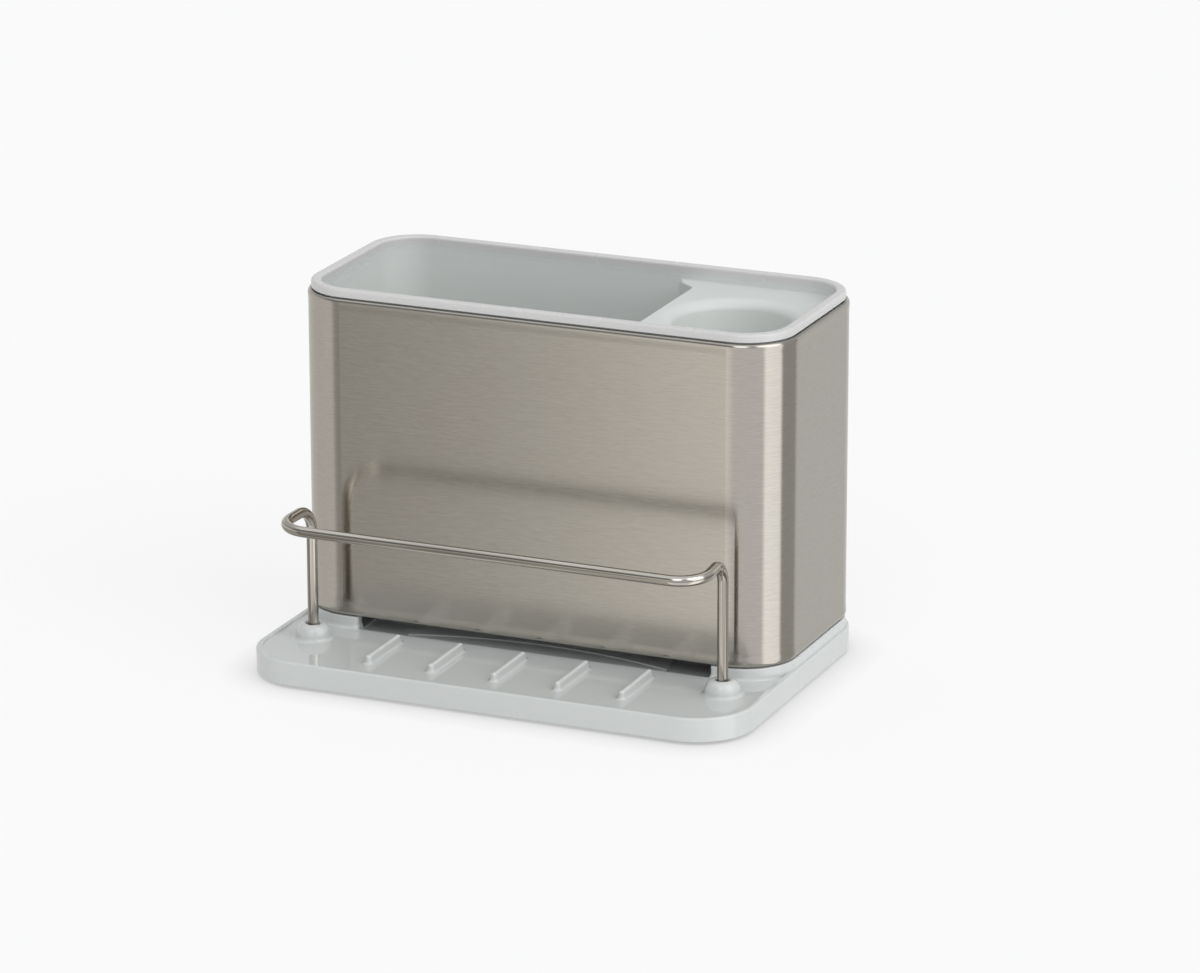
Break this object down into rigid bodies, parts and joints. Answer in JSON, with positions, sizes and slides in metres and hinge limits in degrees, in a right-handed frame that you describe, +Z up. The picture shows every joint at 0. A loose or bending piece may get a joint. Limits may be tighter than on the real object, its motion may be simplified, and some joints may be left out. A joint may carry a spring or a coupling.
{
  "type": "sink tidy",
  "caption": "Sink tidy: ribbed draining tray, brushed steel sleeve with a lift-out caddy that has a tall compartment and a round bowl, and a bent wire rail in front.",
  "frame": {"origin": "on the worktop, under the middle of the base tray", "axes": "+Z up, +X to the right seen from the front, +Y to the back; the open tray and the rail face -Y"},
  "size_m": [0.18, 0.125, 0.128],
  "materials": {
    "tray_plastic": "polished pale grey moulding",
    "sleeve_steel": "stainless sheet with a fine horizontal grain",
    "caddy_plastic": "pale grey moulding with a satin inside and a smoother rim",
    "rail_steel": "bent stainless wire, lightly polished along its length",
    "foot_rubber": "matt non-slip pads"
  },
  "bodies": {
    "base": {"base_tray": "tray_plastic", "foot_front_left": "foot_rubber", "foot_front_right": "foot_rubber", "foot_rear_left": "foot_rubber", "foot_rear_right": "foot_rubber"},
    "sleeve": {"sleeve": "sleeve_steel"},
    "caddy": {"caddy": "caddy_plastic"},
    "rail": {"rail": "rail_steel"}
  },
  "joints": [
    {"name": "sleeve_lift", "type": "slide", "parent": "base", "child": "sleeve", "axis": [0, 0, 1], "range_m": [0, 0.03]},
    {"name": "caddy_lift", "type": "slide", "parent": "sleeve", "child": "caddy", "axis": [0, 0, 1], "range_m": [0, 0.12]},
    {"name": "rail_lift", "type": "slide", "parent": "base", "child": "rail", "axis": [0, 0, 1], "range_m": [0, 0.03]}
  ]
}
